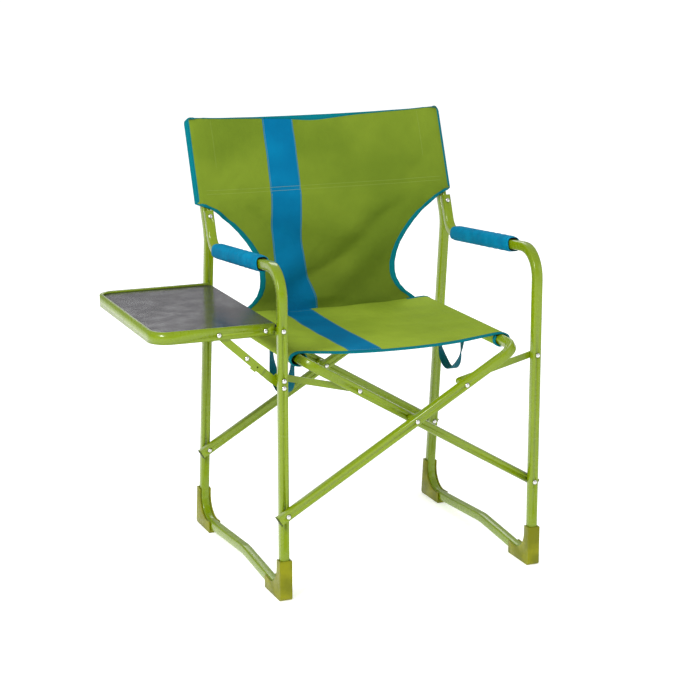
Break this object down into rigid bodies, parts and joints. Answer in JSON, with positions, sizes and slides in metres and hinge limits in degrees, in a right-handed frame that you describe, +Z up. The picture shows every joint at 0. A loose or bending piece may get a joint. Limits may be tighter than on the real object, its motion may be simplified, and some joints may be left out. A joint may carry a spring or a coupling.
{
  "type": "folding director chair",
  "caption": "Folding director chair with square tube frames, a fabric seat and back, padded arms, carry straps and a fold-down side table.",
  "frame": {"origin": "on the floor, at the middle of the whole object's box, side table included", "axes": "+Z up, -Y the way the sitter faces, +X towards the sitter's left, away from the side table"},
  "size_m": [0.7962, 0.5596, 0.8666],
  "materials": {
    "frame_paint": "gloss powder coat",
    "foot_plastic": "satin moulded",
    "seat_fabric": "coated woven polyester",
    "pad_fabric": "woven sleeve over foam",
    "webbing": "woven webbing",
    "board_laminate": "smooth satin laminate",
    "rivet_steel": "polished",
    "plug_plastic": "moulded"
  },
  "bodies": {
    "left_frame": {"arm_pad_left": "pad_fabric", "back_fabric": "seat_fabric", "foot_cap_front_left": "foot_plastic", "foot_cap_rear_left": "foot_plastic", "rivet_arm_post_left": "rivet_steel", "rivet_link_leg_left_front": "rivet_steel", "rivet_link_leg_left_rear": "rivet_steel", "rivet_pivot_left_front": "rivet_steel", "rivet_pivot_left_rear": "rivet_steel", "rivet_strut_leg_front": "rivet_steel", "rivet_strut_leg_rear": "rivet_steel", "rivet_table_hinge_front": "rivet_steel", "rivet_table_hinge_rear": "rivet_steel", "side_frame_left": "frame_paint"},
    "outer_scissor": {"crossing_spacer_front": "frame_paint", "crossing_spacer_rear": "frame_paint", "rivet_crossing_front": "rivet_steel", "rivet_crossing_rear": "rivet_steel", "rivet_link_bar_right_front": "rivet_steel", "rivet_link_bar_right_rear": "rivet_steel", "scissor_frame_outer": "frame_paint", "scissor_frame_outer_plug_front": "plug_plastic", "scissor_frame_outer_plug_rear": "plug_plastic", "seat_fabric": "seat_fabric"},
    "inner_scissor": {"rivet_link_bar_left_front": "rivet_steel", "rivet_link_bar_left_rear": "rivet_steel", "scissor_frame_inner": "frame_paint", "scissor_frame_inner_plug_front": "plug_plastic", "scissor_frame_inner_plug_rear": "plug_plastic"},
    "right_frame": {"arm_pad_right": "pad_fabric", "foot_cap_front_right": "foot_plastic", "foot_cap_rear_right": "foot_plastic", "rivet_arm_post_right": "rivet_steel", "rivet_link_leg_right_front": "rivet_steel", "rivet_link_leg_right_rear": "rivet_steel", "rivet_pivot_right_front": "rivet_steel", "rivet_pivot_right_rear": "rivet_steel", "side_frame_right": "frame_paint"},
    "link_left_front": {"link_left_front": "frame_paint"},
    "link_left_rear": {"link_left_rear": "frame_paint"},
    "link_right_front": {"link_right_front": "frame_paint"},
    "link_right_rear": {"link_right_rear": "frame_paint"},
    "side_table": {"rivet_rim_bracket_front": "rivet_steel", "rivet_rim_bracket_rear": "rivet_steel", "rivet_strut_rim_front": "rivet_steel", "rivet_strut_rim_rear": "rivet_steel", "table_board": "board_laminate", "table_hinge_bracket_front": "frame_paint", "table_hinge_bracket_rear": "frame_paint", "table_rim": "frame_paint"},
    "strut_lower_front": {"table_strut_lower_front": "frame_paint"},
    "strut_lower_rear": {"table_strut_lower_rear": "frame_paint"},
    "strut_upper_front": {"rivet_strut_middle_front": "rivet_steel", "table_strut_upper_front": "frame_paint"},
    "strut_upper_rear": {"rivet_strut_middle_rear": "rivet_steel", "table_strut_upper_rear": "frame_paint"},
    "strap_right": {"carry_strap_right": "webbing"},
    "strap_left": {"carry_strap_left": "webbing"}
  },
  "joints": [
    {"name": "fold", "type": "hinge", "parent": "left_frame", "child": "outer_scissor", "pos_m": [-0.1531, 0, 0.174], "axis": [0, -1, 0], "range_deg": [0, 40], "deforming": ["seat_fabric", "back_fabric"]},
    {"name": "cross", "type": "hinge", "parent": "outer_scissor", "child": "inner_scissor", "pos_m": [0.1119, 0, 0.332], "axis": [0, -1, 0], "range_deg": [-80.5, 0.5]},
    {"name": "right_frame_pivot", "type": "hinge", "parent": "inner_scissor", "child": "right_frame", "pos_m": [0.3769, 0, 0.174], "axis": [0, -1, 0], "range_deg": [-0.5, 40.5]},
    {"name": "link_left_front_pivot", "type": "hinge", "parent": "left_frame", "child": "link_left_front", "pos_m": [-0.1531, 0, 0.4345], "axis": [0, -1, 0], "range_deg": [-0.5, 81.7]},
    {"name": "link_left_rear_pivot", "type": "hinge", "parent": "left_frame", "child": "link_left_rear", "pos_m": [-0.1531, 0, 0.4345], "axis": [0, -1, 0], "range_deg": [-0.5, 81.7]},
    {"name": "link_right_front_pivot", "type": "hinge", "parent": "right_frame", "child": "link_right_front", "pos_m": [0.3769, 0, 0.4345], "axis": [0, -1, 0], "range_deg": [-81.7, 0.5]},
    {"name": "link_right_rear_pivot", "type": "hinge", "parent": "right_frame", "child": "link_right_rear", "pos_m": [0.3769, 0, 0.4345], "axis": [0, -1, 0], "range_deg": [-81.7, 0.5]},
    {"name": "table_fold", "type": "hinge", "parent": "left_frame", "child": "side_table", "pos_m": [-0.1531, 0, 0.529], "axis": [0, -1, 0], "range_deg": [0, 75]},
    {"name": "strut_lower_front_pivot", "type": "hinge", "parent": "left_frame", "child": "strut_lower_front", "pos_m": [-0.1531, 0, 0.4205], "axis": [0, -1, 0], "range_deg": [-0.5, 110.23]},
    {"name": "strut_lower_rear_pivot", "type": "hinge", "parent": "left_frame", "child": "strut_lower_rear", "pos_m": [-0.1531, 0, 0.4205], "axis": [0, -1, 0], "range_deg": [-0.5, 110.23]},
    {"name": "strut_upper_front_pivot", "type": "hinge", "parent": "side_table", "child": "strut_upper_front", "pos_m": [-0.2711, 0, 0.5275], "axis": [0, -1, 0], "range_deg": [-126.19, 0.5]},
    {"name": "strut_upper_rear_pivot", "type": "hinge", "parent": "side_table", "child": "strut_upper_rear", "pos_m": [-0.2711, 0, 0.5275], "axis": [0, -1, 0], "range_deg": [-126.19, 0.5]},
    {"name": "strap_right_swing", "type": "hinge", "parent": "outer_scissor", "child": "strap_right", "pos_m": [0.3239, 0, 0.4584], "axis": [0, -1, 0], "range_deg": [-40.5, 0.5]},
    {"name": "strap_left_swing", "type": "hinge", "parent": "inner_scissor", "child": "strap_left", "pos_m": [-0.1001, 0, 0.4584], "axis": [0, -1, 0], "range_deg": [-0.5, 40.5]}
  ],
  "couplings": [
    {"joint": "cross", "follows": "fold", "ratio": -2},
    {"joint": "right_frame_pivot", "follows": "fold", "ratio": 1},
    {"joint": "link_left_front_pivot", "follows": "fold", "ratio": 2.03},
    {"joint": "link_left_rear_pivot", "follows": "fold", "ratio": 2.03},
    {"joint": "link_right_front_pivot", "follows": "fold", "ratio": -2.03},
    {"joint": "link_right_rear_pivot", "follows": "fold", "ratio": -2.03},
    {"joint": "strut_lower_front_pivot", "follows": "table_fold", "ratio": 1.463},
    {"joint": "strut_lower_rear_pivot", "follows": "table_fold", "ratio": 1.463},
    {"joint": "strut_upper_front_pivot", "follows": "table_fold", "ratio": -1.6758},
    {"joint": "strut_upper_rear_pivot", "follows": "table_fold", "ratio": -1.6758},
    {"joint": "strap_right_swing", "follows": "fold", "ratio": -1},
    {"joint": "strap_left_swing", "follows": "fold", "ratio": 1}
  ]
}
